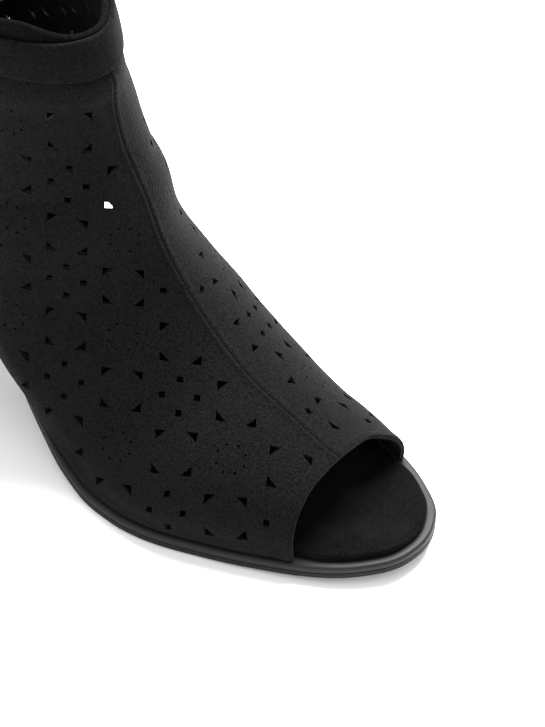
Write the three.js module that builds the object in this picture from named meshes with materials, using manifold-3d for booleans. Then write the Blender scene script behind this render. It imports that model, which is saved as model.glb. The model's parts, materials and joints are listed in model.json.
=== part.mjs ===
// A heeled ankle bootie with an open toe, one right shoe, in millimetres.
// +X points to the toe, +Y to the wearer's left (the inner side), +Z up, and the floor is z = 0.
// "back" is the distance behind the toe's tip, "turn" a share of the quarter turn between a section
// that stands upright at the toe and one that lies level at the ankle, and "girth" a share of the way
// round a section from the instep's ridge (0) to the sole or the back seam (1).
import * as THREE from 'three';
import { mergeVertices } from 'three/addons/utils/BufferGeometryUtils.js';
import Module from 'manifold-3d';

// Sole
const soleLength = 232;
const ballWidth = 88.5;
const toeSpring = 4.5;
const heelRise = 65;
const outsoleThickness = 2.6;
const midsoleThickness = 2.6;
const rimWidth = 1.9;
const rimRound = 1.1;
const bevelShare = 0.3;
const treadEdge = 0.9;
const grooveDepth = 0.45;
const clearance = 0.3;

// Insole
const insoleThickness = 2.2;
const insoleRound = 0.77;
const insoleCrown = 1.2;
const toeRimWidth = 3.2;
const insoleClearance = 1.2;
const toeOpeningStart = 0.08;
const toeOpeningEnd = 0.13;
const footClearance = 0.65;

// Heel
const heelBreast = 180;
const heelInset = 0.9;
const heelTipLength = 45;
const heelTipWidth = 47;
const heelTipFront = 184;
const heelTipThickness = 5;
const heelClearance = 0.5;
const heelTipSquareness = { along: 3.4, across: 2.4 };
const heelFlare = 1.6;

// Upper
const upperWall = 1.5;
const pivotBack = 2;
const pivotHeight = 150;
const instepRadius = 120;
const ankleWidth = 63.5;
const collarHeight = 14.9;
const collarDip = 5.2;
const collarDipReach = 0.14;
const collarBackRise = 3.5;
const collarLean = 0.25;
const counterBack = 231.5;
const collarBack = 221;
const counterRound = 28;
const collarRound = 40;
const collarTurn = 0.983;
const firstTurn = 0.1;
const nearHeel = 0.98;
const toeEdgeFade = 0.2;

// Ankle band and collar binding
const bandLift = 3.8;
const bandHeight = 13.5;
const bandClearance = 0.5;
const bandThickness = 1.6;
const bandBackRise = 4.5;
const bandRound = 0.4;
const bindingHeight = 2.8;
const bindingOverhang = 0.25;
const bindingRound = 0.7;

// Perforation
const latticePitch = 38.5;
const triangleLeg = 3.8;
const holeMargin = 6.3;
const throatMargin = 14;
const throatTurn = 0.56;
const holesEnd = 165;
const latticeReach = 4;
const punchReach = 1.5;

// Sole outline. back: share of the sole's length. outer, inner: shares of the ball's width to either
// side of the shoe's middle line.
const outlineTable = [
  { back: 0, outer: 0.138, inner: 0.138 },
  { back: 0.009, outer: 0.019, inner: 0.239 },
  { back: 0.028, outer: -0.055, inner: 0.315 },
  { back: 0.0625, outer: -0.146, inner: 0.379 },
  { back: 0.103, outer: -0.219, inner: 0.43 },
  { back: 0.147, outer: -0.281, inner: 0.466 },
  { back: 0.243, outer: -0.397, inner: 0.5 },
  { back: 0.333, outer: -0.483, inner: 0.5 },
  { back: 0.379, outer: -0.5, inner: 0.486 },
  { back: 0.422, outer: -0.498, inner: 0.46 },
  { back: 0.487, outer: -0.467, inner: 0.398 },
  { back: 0.556, outer: -0.4115, inner: 0.342 },
  { back: 0.647, outer: -0.339, inner: 0.308 },
  { back: 0.754, outer: -0.308, inner: 0.319 },
  { back: 0.841, outer: -0.302, inner: 0.342 },
  { back: 0.914, outer: -0.263, inner: 0.314 },
  { back: 0.97, outer: -0.155, inner: 0.206 },
  { back: 1, outer: 0.025, inner: 0.025 },
];

// Side of the outsole from the tread up. height: share of its thickness. edge, groove: shares of the
// tread's edge and of the groove's depth.
const outsoleSideTable = [
  { height: 0, edge: 1, groove: 0 },
  { height: 0.18, edge: 0, groove: 0 },
  { height: 0.36, edge: 0, groove: 0 },
  { height: 0.44, edge: 0, groove: 1 },
  { height: 0.52, edge: 0, groove: 0 },
  { height: 0.7, edge: 0, groove: 0 },
  { height: 0.78, edge: 0, groove: 1 },
  { height: 0.86, edge: 0, groove: 0 },
  { height: 1, edge: 0, groove: 0 },
];

// Underside of the sole in side view. spring: share of the toe spring, rise: share of the heel's rise.
const profileTable = [
  { back: 0, spring: 1, rise: 0 },
  { back: 0.06, spring: 0.64, rise: 0 },
  { back: 0.13, spring: 0.33, rise: 0 },
  { back: 0.215, spring: 0.09, rise: 0 },
  { back: 0.293, spring: 0, rise: 0 },
  { back: 0.431, spring: 0, rise: 0 },
  { back: 0.474, spring: 0, rise: 0.028 },
  { back: 0.522, spring: 0, rise: 0.083 },
  { back: 0.556, spring: 0, rise: 0.156 },
  { back: 0.603, spring: 0, rise: 0.282 },
  { back: 0.668, spring: 0, rise: 0.474 },
  { back: 0.733, spring: 0, rise: 0.669 },
  { back: 0.797, spring: 0, rise: 0.815 },
  { back: 0.862, spring: 0, rise: 0.908 },
  { back: 0.927, spring: 0, rise: 0.965 },
  { back: 1, spring: 0, rise: 1 },
];

// Upper, section by section. ridge: share of the instep's radius. outer, inner: greatest half widths,
// shares of a width that runs from the ball's to the ankle's. widest: share of the section's depth at
// which they lie. outerRound, innerRound: how square the section is between ridge and widest place.
const sectionTable = [
  { turn: 0, ridge: 0.9875, outer: 0.159, inner: 0.249, widest: 0.86, outerRound: 2.2, innerRound: 2.2 },
  { turn: 0.162, ridge: 0.9925, outer: 0.3, inner: 0.4, widest: 0.86, outerRound: 2, innerRound: 1.78 },
  { turn: 0.278, ridge: 0.996, outer: 0.435, inner: 0.467, widest: 0.84, outerRound: 1.8, innerRound: 1.74 },
  { turn: 0.389, ridge: 1.0165, outer: 0.554, inner: 0.525, widest: 0.82, outerRound: 1.65, innerRound: 1.98 },
  { turn: 0.478, ridge: 1.0133, outer: 0.55, inner: 0.539, widest: 0.8, outerRound: 1.45, innerRound: 2.01 },
  { turn: 0.567, ridge: 1.0058, outer: 0.575, inner: 0.514, widest: 0.76, outerRound: 1.3, innerRound: 1.9 },
  { turn: 0.656, ridge: 0.9983, outer: 0.555, inner: 0.488, widest: 0.7, outerRound: 1.45, innerRound: 1.77 },
  { turn: 0.744, ridge: 0.9845, outer: 0.515, inner: 0.509, widest: 0.64, outerRound: 1.9, innerRound: 1.99 },
  { turn: 0.856, ridge: 1.01, outer: 0.48, inner: 0.513, widest: 0.61, outerRound: 2.1, innerRound: 2.055 },
  { turn: 1, ridge: 1.0105, outer: 0.466, inner: 0.431, widest: 0.6, outerRound: 2.05, innerRound: 1.715 },
];

// Seam line of the ridge: shares of the ball's width inwards of the shoe's middle line.
const seamTable = [
  { turn: 0, side: 0.082 },
  { turn: 0.167, side: 0.066 },
  { turn: 0.78, side: 0.025 },
  { turn: 1, side: 0.025 },
];

// Back seam. rise: share of the way from the heel seat up to the pivot's height. back: share of the
// way from the collar's back to the counter's.
const backSeamTable = [
  { rise: 0.18, back: 1 },
  { rise: 0.37, back: 0.95 },
  { rise: 0.62, back: 0.57 },
  { rise: 1, back: 0 },
  { rise: 1.4, back: -0.2 },
];

// Edge of the toe opening.
const toeEdgeTable = [
  { girth: 0, outer: 0.158, inner: 0.158 },
  { girth: 0.25, outer: 0.153, inner: 0.158 },
  { girth: 0.5, outer: 0.14, inner: 0.142 },
  { girth: 0.75, outer: 0.126, inner: 0.128 },
  { girth: 1, outer: 0.117, inner: 0.12 },
];

// Where the lattice lies when a flank is laid flat, with the pivot as the flat sheet's origin: its
// first star as shares of the instep's radius, then its steps, bends and leans as shares of the pitch.
const latticeStart = { across: 0.9629, down: 0.4977 };
const latticeTable = [
  { along: 1, down: 0, across: -0.9945, drop: -0.0203 },
  { along: 0, down: 1, across: -0.0915, drop: 0.981 },
  { along: 2, down: 0, across: 0.0004, drop: -0.0498 },
  { along: 1, down: 1, across: -0.0282, drop: -0.0486 },
  { along: 0, down: 2, across: -0.035, drop: 0.0107 },
];

// The inner flank's pattern is pulled: shares of the two flat coordinates, and of the instep's radius.
const innerPull = {
  across: { across: 0.978, drop: 0.023, shift: 0.0146 },
  drop: { across: -0.122, drop: 0.867, shift: 0.1896 },
};

// Four triangles stand round the middle of each lattice edge, their right angles outwards.
const triangleSeat = 0.15;

// Numbers of facets
const soleStations = 31;
const openStations = 20;
const closedStations = 4;
const collarStations = 2;
const girthSteps = 10;
const sectionSteps = 24;
const insoleColumns = 6;
const heelStations = 14;
const heelLevels = [0, 0.25, 0.6, 1];
const quarterTurn = Math.PI / 2;
const weldDistance = 1e-4;

// A smooth curve through the rows of a table, level at its crests and past its ends.
function curve(rows, key, column) {
  const xs = rows.map((row) => row[key]);
  const ys = rows.map((row) => row[column]);
  const last = xs.length - 1;
  const rates = xs.slice(1).map((x, i) => (ys[i + 1] - ys[i]) / (x - xs[i]));
  const slopes = xs.map((x, i) => {
    if (i === 0) return rates[0];
    if (i === last) return rates[last - 1];
    if (rates[i - 1] * rates[i] <= 0) return 0;
    const before = xs[i] - xs[i - 1];
    const after = xs[i + 1] - xs[i];
    return (rates[i - 1] * after + rates[i] * before) / (before + after);
  });
  return (at) => {
    const x = Math.min(Math.max(at, xs[0]), xs[last]);
    let i = 0;
    while (i < last - 1 && x > xs[i + 1]) i += 1;
    const span = xs[i + 1] - xs[i];
    const t = (x - xs[i]) / span;
    return (2 * t ** 3 - 3 * t ** 2 + 1) * ys[i] + (t ** 3 - 2 * t ** 2 + t) * span * slopes[i]
      + (3 * t ** 2 - 2 * t ** 3) * ys[i + 1] + (t ** 3 - t ** 2) * span * slopes[i + 1];
  };
}

// Root of a rising function between two bounds.
function root(rising, low, high) {
  let from = low;
  let to = high;
  for (let i = 0; i < 40; i += 1) {
    const middle = (from + to) / 2;
    if (rising(middle) < 0) from = middle;
    else to = middle;
  }
  return from;
}

const shoe = (back, y, z) => new THREE.Vector3(soleLength / 2 - back, y, z);

// Sole outline: stations crowd together at toe and heel, where the outline turns.
const stationOf = (back) => Math.acos(1 - 2 * back) / Math.PI;
const outlineRows = outlineTable.map((row) => ({ ...row, station: stationOf(row.back) }));
const outerOutline = curve(outlineRows, 'station', 'outer');
const innerOutline = curve(outlineRows, 'station', 'inner');

function outlinePoint(station) {
  const folded = station <= 1 ? station : 2 - station;
  const side = station <= 1 ? outerOutline : innerOutline;
  const back = soleLength * (1 - Math.cos(Math.PI * folded)) / 2;
  return new THREE.Vector2(back, ballWidth * side(folded));
}

// The outline moved inwards, as two rows of points from toe tip to heel.
function insetOutline(insetAt, stations) {
  const step = 1 / stations;
  const moved = (station) => {
    const point = outlinePoint(station);
    const before = outlinePoint((station - step / 2 + 2) % 2);
    const after = outlinePoint((station + step / 2) % 2);
    const along = after.sub(before).normalize();
    const inset = insetAt(point.x);
    return point.add(new THREE.Vector2(-along.y, along.x).multiplyScalar(inset));
  };
  const outer = [];
  const inner = [];
  for (let i = 0; i <= stations; i += 1) {
    outer.push(moved(i * step));
    inner.push(moved((2 - i * step) % 2));
  }
  return { outer, inner };
}

const springCurve = curve(profileTable, 'back', 'spring');
const riseCurve = curve(profileTable, 'back', 'rise');
function soleUnderside(back) {
  const place = back / soleLength;
  return toeSpring * springCurve(place) + heelRise * riseCurve(place);
}

// Closed body from its faces, each a row of corners.
function solid(faces) {
  const positions = [];
  for (const face of faces) {
    for (let i = 1; i < face.length - 1; i += 1) {
      for (const point of [face[0], face[i], face[i + 1]]) positions.push(point.x, point.y, point.z);
    }
  }
  const loose = new THREE.BufferGeometry();
  loose.setAttribute('position', new THREE.Float32BufferAttribute(positions, 3));
  const merged = mergeVertices(loose, weldDistance);
  const index = Array.from(merged.index.array);
  const kept = [];
  for (let i = 0; i < index.length; i += 3) {
    const [a, b, c] = index.slice(i, i + 3);
    if (a !== b && b !== c && c !== a) kept.push(a, b, c);
  }
  merged.setIndex(kept);
  return merged;
}

// Faces between rings of points, each ring closed on itself.
function bands(rings) {
  const faces = [];
  for (let k = 0; k < rings.length - 1; k += 1) {
    const count = rings[k].length;
    for (let j = 0; j < count; j += 1) {
      const next = (j + 1) % count;
      faces.push([rings[k][j], rings[k + 1][j], rings[k + 1][next], rings[k][next]]);
    }
  }
  return faces;
}

// A layer of the sole. rows: from the bottom edge up, each an inset from the outline and a height.
function layer(rows, base, rise = () => 0, across = 2) {
  const outlines = rows.map((row) => insetOutline(row.inset, soleStations));
  const rings = [];
  for (let k = 0; k <= soleStations; k += 1) {
    const place = (point, height) => shoe(point.x, point.y, soleUnderside(point.x) + base + height);
    const outerRow = rows.map((row, r) => place(outlines[r].outer[k], row.height));
    const innerRow = rows.map((row, r) => place(outlines[r].inner[k], row.height));
    const top = [];
    const bottom = [];
    for (let j = 1; j < across; j += 1) {
      const share = j / across;
      const high = outerRow[rows.length - 1].clone().lerp(innerRow[rows.length - 1], share);
      high.z += rise(share, k / soleStations);
      top.push(high);
      bottom.push(innerRow[0].clone().lerp(outerRow[0], share));
    }
    rings.push([...outerRow, ...top, ...innerRow.reverse(), ...bottom]);
  }
  return solid(bands(rings));
}

const everywhere = (inset) => () => inset;

// Outsole, with two grooves round its side.
const outsole = layer(outsoleSideTable.map((row) => ({
  inset: everywhere(treadEdge * row.edge + grooveDepth * row.groove),
  height: outsoleThickness * row.height,
})), 0);

// Midsole: its rounded edge is the rim round the foot of the upper.
const midsoleBase = outsoleThickness + clearance;
const midsole = layer([
  { inset: everywhere(rimRound * bevelShare), height: 0 },
  { inset: everywhere(0), height: rimRound * bevelShare },
  { inset: everywhere(0), height: midsoleThickness - rimRound },
  { inset: everywhere(rimRound * bevelShare), height: midsoleThickness - rimRound * bevelShare },
  { inset: everywhere(rimRound), height: midsoleThickness },
], midsoleBase);
const seatHeight = midsoleBase + midsoleThickness + footClearance;

// Insole: reaches nearly to the rim in the open toe, and to the inside of the upper behind it.
const insoleSideInset = rimWidth + upperWall + insoleClearance;
function insoleInset(back) {
  const share = THREE.MathUtils.smoothstep(back / soleLength, toeOpeningStart, toeOpeningEnd);
  return toeRimWidth + (insoleSideInset - toeRimWidth) * share;
}
const crown = (share, along) => insoleCrown * 4 * share * (1 - share) * Math.sqrt(Math.sin(Math.PI * along));
const insole = layer([
  { inset: insoleInset, height: 0 },
  { inset: insoleInset, height: insoleThickness - insoleRound },
  {
    inset: (back) => insoleInset(back) + insoleRound * bevelShare,
    height: insoleThickness - insoleRound * bevelShare,
  },
  { inset: (back) => insoleInset(back) + insoleRound, height: insoleThickness },
], seatHeight, crown, insoleColumns);

// Heel: the sole's own outline at the top, the wearing piece's D outline at the bottom.
const heelEnd = soleLength - heelInset;
const heelOutline = insetOutline(everywhere(heelInset), soleStations * 4);
function outlineAt(points, back) {
  let i = 0;
  while (i < points.length - 2 && points[i + 1].x < back) i += 1;
  const share = (back - points[i].x) / (points[i + 1].x - points[i].x);
  return points[i].y + (points[i + 1].y - points[i].y) * share;
}
const middleLine = ballWidth * seamTable[2].side;

function heelTipPoint(share, side) {
  const bulge = (1 - share ** heelTipSquareness.along) ** (1 / heelTipSquareness.across);
  const y = middleLine + side * heelTipWidth / 2 * bulge;
  return new THREE.Vector2(heelTipFront + heelTipLength * share, y);
}

function heelRings(levels, heightOf) {
  const rings = [];
  for (let k = 0; k <= heelStations; k += 1) {
    const share = Math.sin(quarterTurn * k / heelStations);
    const topBack = heelBreast + (heelEnd - heelBreast) * share;
    const column = (side, points) => levels.map((level) => {
      const low = heelTipPoint(share, side);
      const highY = k === heelStations ? middleLine : outlineAt(points, topBack);
      const spread = level ** heelFlare;
      const back = low.x + (topBack - low.x) * spread;
      return shoe(back, low.y + (highY - low.y) * spread, heightOf(level, topBack));
    });
    rings.push([...column(-1, heelOutline.outer), ...column(1, heelOutline.inner).reverse()]);
  }
  return rings;
}

function capped(rings) {
  const faces = bands(rings);
  const first = rings[0];
  const half = first.length / 2;
  for (let j = 0; j < half - 1; j += 1) {
    faces.push([first[j], first[j + 1], first[first.length - 2 - j], first[first.length - 1 - j]]);
  }
  return solid(faces);
}

const heelBottom = heelTipThickness + clearance;
const heel = capped(heelRings(heelLevels, (level, back) => {
  return heelBottom + (soleUnderside(back) - heelClearance - heelBottom) * level;
}));
const heelTip = capped(heelRings([0, 0], () => 0).map((ring) => {
  return ring.map((point, j) => point.clone().setZ(j === 1 || j === 2 ? heelTipThickness : 0));
}));

// Upper: the foot line, where its outer face meets the rim.
const footOutline = insetOutline(everywhere(rimWidth), soleStations * 4);
const footToe = footOutline.outer[0].x;
const footHeel = footOutline.outer[soleStations * 4].x;
const footHeight = (back) => soleUnderside(back) + midsoleBase + midsoleThickness + footClearance;

const ridgeCurve = curve(sectionTable, 'turn', 'ridge');
const seamCurve = curve(seamTable, 'turn', 'side');
const columns = ['outer', 'inner', 'widest', 'outerRound', 'innerRound'];
const sectionCurves = Object.fromEntries(columns.map((name) => [name, curve(sectionTable, 'turn', name)]));

const heelSeatHeight = footHeight(footHeel);
const backSeamRows = backSeamTable.map((row) => ({
  height: heelSeatHeight + (pivotHeight - heelSeatHeight) * row.rise,
  back: collarBack + (counterBack - collarBack) * row.back,
}));
const backSeam = curve([{ height: heelSeatHeight, back: footHeel }, ...backSeamRows], 'height', 'back');

// How far a point lies behind the plane of a turn: nought on it.
function behindPlane(turn, back, height) {
  const angle = turn * quarterTurn;
  return (back - pivotBack) * Math.cos(angle) - (pivotHeight - height) * Math.sin(angle);
}
const closingTurn = Math.atan2(footHeel - pivotBack, pivotHeight - heelSeatHeight) / quarterTurn;

// Where a section ends: on the foot line, or behind the closing turn on the back seam.
function sectionEnd(turn) {
  if (turn < closingTurn) {
    const back = root((at) => behindPlane(turn, at, footHeight(at)), footToe, footHeel);
    return { back, height: footHeight(back) };
  }
  const height = root((at) => behindPlane(turn, backSeam(at), at), heelSeatHeight, pivotHeight * 1.2);
  return { back: backSeam(height), height };
}

// How far a section has closed in towards the back seam: 1 ahead of the heel's round, 0 on the seam.
function closing(back, height) {
  const up = THREE.MathUtils.clamp((height - heelSeatHeight) / (pivotHeight - heelSeatHeight), 0, 1);
  const round = counterRound + (collarRound - counterRound) * up;
  const share = THREE.MathUtils.clamp((backSeam(height) - back) / round, 0, 1);
  return Math.sqrt(1 - (1 - share) ** 2);
}

// Half width of the foot line, before it closes in.
function footHalfWidth(turn, side, back) {
  const ahead = Math.min(back, footHeel - counterRound * (1 - nearHeel));
  const outline = side < 0 ? footOutline.outer : footOutline.inner;
  return side * (outlineAt(outline, ahead) - ballWidth * seamCurve(turn)) / closing(ahead, heelSeatHeight);
}

// Half a section, from the ridge to its end, as a row of points.
const sections = new Map();
function halfSection(turn, side) {
  const key = `${turn.toFixed(6)} ${side}`;
  if (sections.has(key)) return sections.get(key);
  const name = side < 0 ? 'outer' : 'inner';
  const end = sectionEnd(turn);
  const ridge = instepRadius * ridgeCurve(turn);
  const depth = Math.hypot(end.back - pivotBack, pivotHeight - end.height) - ridge;
  const seam = ballWidth * seamCurve(turn);
  const widthHere = ballWidth + (ankleWidth - ballWidth) * turn;
  const foot = footHalfWidth(turn, side, end.back);
  const half = Math.max(widthHere * sectionCurves[name](turn), foot);
  const above = THREE.MathUtils.clamp((turn - closingTurn) / (collarTurn - closingTurn), 0, 1);
  const endHalf = foot + (half - foot) * above;
  const round = sectionCurves[`${name}Round`](turn);
  const widest = sectionCurves.widest(turn);
  const points = [];
  const add = (share, width) => {
    const radius = ridge + depth * share;
    const angle = turn * quarterTurn;
    const back = pivotBack + radius * Math.sin(angle);
    const height = pivotHeight - radius * Math.cos(angle);
    points.push(shoe(back, seam + side * width * closing(back, height), height));
  };
  for (let i = 0; i <= sectionSteps; i += 1) {
    const fall = Math.cos(quarterTurn * i / sectionSteps);
    add(widest * (1 - fall), half * (1 - fall ** round) ** (1 / round));
  }
  for (let i = 1; i <= sectionSteps; i += 1) {
    const share = Math.sin(quarterTurn * i / sectionSteps);
    add(widest + (1 - widest) * share, endHalf + (half - endHalf) * Math.sqrt(1 - share ** 2));
  }
  const lengths = [0];
  for (let i = 1; i < points.length; i += 1) {
    lengths.push(lengths[i - 1] + points[i].distanceTo(points[i - 1]));
  }
  const section = { points, lengths, girth: lengths[lengths.length - 1] };
  sections.set(key, section);
  return section;
}

function alongSection(section, length) {
  const { points, lengths } = section;
  let i = 0;
  while (i < points.length - 2 && lengths[i + 1] < length) i += 1;
  const share = (length - lengths[i]) / (lengths[i + 1] - lengths[i]);
  return points[i].clone().lerp(points[i + 1], share);
}

// The collar stands on the last section and rises towards the back.
const collarFront = alongSection(halfSection(collarTurn, 1), 0).x;
const collarDepth = collarFront - halfSection(collarTurn, 1).points.at(-1).x;
function backLift(point, rise) {
  return rise * Math.sin(quarterTurn * (collarFront - point.x) / collarDepth);
}

// At the front the collar's edge dips.
function collarLift(point) {
  const reach = Math.min((collarFront - point.x) / collarDepth / collarDipReach, 1);
  return collarDip * reach ** 2 * (3 - 2 * reach) + backLift(point, collarBackRise);
}

// A point on the outer face. way: girth share, negative on the outer side of the foot.
function upperPoint(turn, lift, way) {
  const section = halfSection(turn, way < 0 ? -1 : 1);
  const point = alongSection(section, Math.abs(way) * section.girth);
  const height = lift + collarLift(point) * Math.min(lift / collarHeight * 2, 1);
  point.z += height;
  point.x -= collarLean * height;
  return point;
}

function upperNormal(turn, lift, way) {
  const step = 0.01;
  const ahead = upperPoint(turn, lift, Math.min(way + step, 1));
  const behind = upperPoint(turn, lift, Math.max(way - step, -1));
  const low = upperPoint(turn - (lift > 0 ? 0 : step / 2), Math.max(lift - 1, 0), way);
  const pastCollar = turn + step / 2 > collarTurn;
  const high = upperPoint(Math.min(turn + step / 2, collarTurn), lift + (pastCollar ? 1 : 0), way);
  return new THREE.Vector3().crossVectors(high.sub(low), ahead.sub(behind)).normalize().negate();
}

// Stations of the upper from the toe opening to the collar.
const openingTurn = toeEdgeTable[0].outer;
const toeEdgeCurves = {
  outer: curve(toeEdgeTable, 'girth', 'outer'),
  inner: curve(toeEdgeTable, 'girth', 'inner'),
};
function toeEdgeTurn(turn, way) {
  const edge = toeEdgeCurves[way < 0 ? 'outer' : 'inner'](Math.abs(way)) - openingTurn;
  return turn + edge * Math.max(0, 1 - (turn - openingTurn) / toeEdgeFade) ** 2;
}
const stations = [];
for (let k = 0; k < openStations; k += 1) {
  const share = Math.sin(quarterTurn * k / openStations);
  stations.push({ turn: openingTurn + (closingTurn - openingTurn) * share, lift: 0, open: true });
}
for (let k = 0; k < closedStations; k += 1) {
  const turn = closingTurn + (collarTurn - closingTurn) * k / closedStations;
  stations.push({ turn, lift: 0, open: false });
}
for (let k = 0; k <= collarStations; k += 1) {
  stations.push({ turn: collarTurn, lift: collarHeight * k / collarStations, open: false });
}
const ways = [];
for (let j = -girthSteps; j <= girthSteps; j += 1) ways.push(j / girthSteps);

const outerFace = [];
const innerFace = [];
stations.forEach((station, k) => {
  const outerRow = [];
  const innerRow = [];
  for (const way of ways) {
    const turn = toeEdgeTurn(station.turn, way);
    const point = upperPoint(turn, station.lift, way);
    const normal = upperNormal(turn, station.lift, way);
    const atEnd = Math.abs(way) === 1;
    if (atEnd && !station.open) normal.y = 0;
    if (atEnd || k === stations.length - 1) normal.z = 0;
    normal.normalize();
    outerRow.push(point);
    innerRow.push(point.clone().addScaledVector(normal, -upperWall));
  }
  outerFace.push(outerRow);
  innerFace.push(innerRow);
});

const upperFaces = [];
const lastWay = ways.length - 1;
for (let k = 0; k < stations.length - 1; k += 1) {
  for (let j = 0; j < lastWay; j += 1) {
    upperFaces.push([outerFace[k][j], outerFace[k + 1][j], outerFace[k + 1][j + 1], outerFace[k][j + 1]]);
    upperFaces.push([innerFace[k][j], innerFace[k][j + 1], innerFace[k + 1][j + 1], innerFace[k + 1][j]]);
  }
  if (stations[k].open) {
    const [outer, outerNext] = [outerFace[k], outerFace[k + 1]];
    const [inner, innerNext] = [innerFace[k], innerFace[k + 1]];
    upperFaces.push([outer[0], inner[0], innerNext[0], outerNext[0]]);
    upperFaces.push([outer[lastWay], outerNext[lastWay], innerNext[lastWay], inner[lastWay]]);
  }
}
for (let j = 0; j < lastWay; j += 1) {
  const top = stations.length - 1;
  upperFaces.push([outerFace[0][j], outerFace[0][j + 1], innerFace[0][j + 1], innerFace[0][j]]);
  upperFaces.push([outerFace[top][j], innerFace[top][j], innerFace[top][j + 1], outerFace[top][j + 1]]);
}
const upperShell = solid(upperFaces);

// Perforation. A place on the lattice, laid flat, is rolled back onto a flank: its angle about the
// pivot gives the section, and its distance past the ridge the length along that section.
function onFlank(along, down, side) {
  let across = instepRadius * latticeStart.across;
  let drop = instepRadius * latticeStart.down;
  for (const row of latticeTable) {
    const term = latticePitch * along ** row.along * down ** row.down;
    across += row.across * term;
    drop += row.drop * term;
  }
  if (side > 0) {
    const pull = (row) => row.across * across + row.drop * drop + row.shift * instepRadius;
    [across, drop] = [pull(innerPull.across), pull(innerPull.drop)];
  }
  const turn = Math.atan2(across, drop) / quarterTurn;
  if (turn < firstTurn || turn > collarTurn) return null;
  const section = halfSection(turn, side);
  const length = Math.hypot(across, drop) - instepRadius * ridgeCurve(turn);
  if (length < 0 || length > section.girth) return null;
  return { turn, side, length, girth: section.girth, point: alongSection(section, length) };
}

function clearOfEdges(place) {
  const way = place.side * place.length / place.girth;
  const radius = instepRadius * ridgeCurve(place.turn) * quarterTurn;
  const fromToe = (place.turn - toeEdgeCurves[way < 0 ? 'outer' : 'inner'](Math.abs(way))) * radius;
  const fromBand = (collarTurn - place.turn) * radius;
  const fromFoot = place.girth - place.length;
  const seamMargin = place.side > 0 && place.turn > throatTurn ? throatMargin : holeMargin;
  const fromEdges = Math.min(fromToe, fromBand, fromFoot);
  return soleLength / 2 - place.point.x < holesEnd && place.length > seamMargin && fromEdges > holeMargin;
}

function holePrism(wasm, corners, normal) {
  const reach = upperWall + punchReach;
  const top = corners.map((corner) => corner.clone().addScaledVector(normal, reach / 2));
  const bottom = corners.map((corner) => corner.clone().addScaledVector(normal, -reach));
  const count = corners.length;
  const vertProperties = new Float32Array([...top, ...bottom].flatMap((point) => point.toArray()));
  const triangles = [];
  for (let i = 1; i < count - 1; i += 1) {
    triangles.push(0, i, i + 1, count, count + i + 1, count + i);
  }
  for (let i = 0; i < count; i += 1) {
    const next = (i + 1) % count;
    triangles.push(i, count + i, count + next, i, count + next, next);
  }
  const mesh = new wasm.Mesh({ numProp: 3, vertProperties, triVerts: new Uint32Array(triangles) });
  return new wasm.Manifold(mesh);
}

function triangleHoles(wasm) {
  const prisms = [];
  const leg = triangleLeg / latticePitch;
  const edgeMiddles = [];
  for (let i = -latticeReach; i <= latticeReach; i += 1) {
    for (let j = -latticeReach; j <= latticeReach; j += 1) edgeMiddles.push([i + 0.5, j], [i, j + 0.5]);
  }
  for (const side of [-1, 1]) {
    for (const [along, down] of edgeMiddles) {
      for (const [a, b] of [[-1, -1], [-1, 1], [1, -1], [1, 1]]) {
        const cornerAlong = along + a * (triangleSeat + leg / 3);
        const cornerDown = down + b * (triangleSeat + leg / 3);
        const spots = [[0, 0], [-a * leg, 0], [0, -b * leg]];
        const centre = onFlank(along + a * triangleSeat, down + b * triangleSeat, side);
        if (!centre || !clearOfEdges(centre)) continue;
        const corners = spots.map(([da, db]) => onFlank(cornerAlong + da, cornerDown + db, side));
        if (corners.some((corner) => !corner)) continue;
        const normal = upperNormal(centre.turn, 0, side * centre.length / centre.girth);
        const points = corners.map((corner) => corner.point);
        const facing = new THREE.Vector3().crossVectors(
          points[1].clone().sub(points[0]),
          points[2].clone().sub(points[0]),
        );
        if (facing.dot(normal) < 0) points.reverse();
        prisms.push(holePrism(wasm, points, normal));
      }
    }
  }
  return prisms;
}

const wasm = await Module();
wasm.setup();

function toManifold(geometry) {
  return new wasm.Manifold(new wasm.Mesh({
    numProp: 3,
    vertProperties: geometry.getAttribute('position').array,
    triVerts: new Uint32Array(geometry.index.array),
  }));
}

function toGeometry(manifold) {
  const mesh = manifold.getMesh();
  const geometry = new THREE.BufferGeometry();
  geometry.setAttribute('position', new THREE.Float32BufferAttribute(mesh.vertProperties, 3));
  geometry.setIndex(Array.from(mesh.triVerts));
  return geometry;
}

const holes = triangleHoles(wasm);
const upper = toGeometry(toManifold(upperShell).subtract(wasm.Manifold.union(holes)));

// Rings round the collar: the band lies outside the upper, the binding on its edge.
function collarRing(count, insideOffset, outsideOffset, lowAt, highAt, round) {
  const rings = [];
  for (let j = 0; j <= count; j += 1) {
    const way = -1 + 2 * j / count;
    const base = upperPoint(collarTurn, 0, way);
    const normal = upperNormal(collarTurn, 1, way).setZ(0);
    if (Math.abs(way) === 1) normal.y = 0;
    normal.normalize();
    const low = lowAt(base);
    const high = highAt(base);
    const section = [
      [insideOffset, low], [insideOffset, high - round], [insideOffset + round, high],
      [outsideOffset - round, high], [outsideOffset, high - round], [outsideOffset, low],
    ];
    rings.push(section.map(([offset, lift]) => {
      const point = base.clone().addScaledVector(normal, offset);
      point.x -= collarLean * lift;
      point.z += lift;
      return point;
    }));
  }
  return solid(bands(rings));
}

const ankleBand = collarRing(
  girthSteps * 4,
  bandClearance,
  bandClearance + bandThickness,
  (base) => bandLift + backLift(base, bandBackRise),
  (base) => bandLift + backLift(base, bandBackRise) + bandHeight,
  bandRound,
);
const collarTop = (base) => collarHeight + collarLift(base);
const collarBinding = collarRing(
  girthSteps * 2,
  -upperWall - bindingOverhang,
  bindingOverhang,
  (base) => collarTop(base) + clearance,
  (base) => collarTop(base) + clearance + bindingHeight,
  bindingRound,
);

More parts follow.
